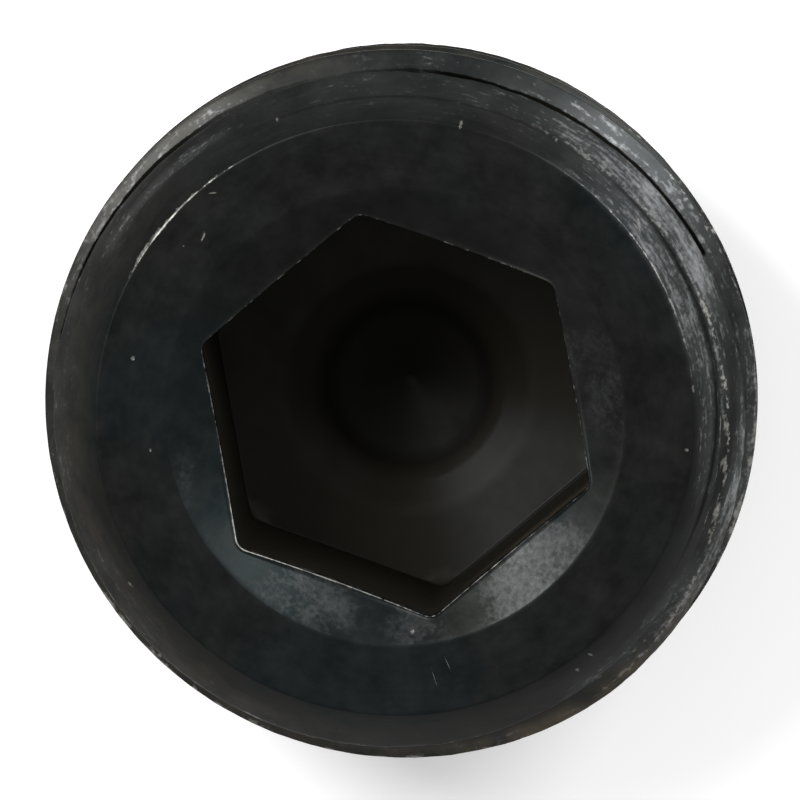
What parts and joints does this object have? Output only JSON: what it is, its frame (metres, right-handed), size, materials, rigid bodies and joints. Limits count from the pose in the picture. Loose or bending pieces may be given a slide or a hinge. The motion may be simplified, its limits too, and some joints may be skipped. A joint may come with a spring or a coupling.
{
  "type": "threaded plug",
  "caption": "Short headless taper-threaded steel plug with a countersunk hexagon socket, screwed in flush to close a tapped port.",
  "frame": {"origin": "centre of the flat inner end face, the end that goes into the port first", "axes": "+Z along the thread axis, out of the hexagon socket; two corners of the hexagon lie on X"},
  "size_m": [0.02, 0.02, 0.01],
  "materials": {
    "blackened_steel": "black oxide over turned steel, bare and scuffed at the edges"
  },
  "bodies": {
    "root": {"plug": "blackened_steel"}
  },
  "joints": []
}
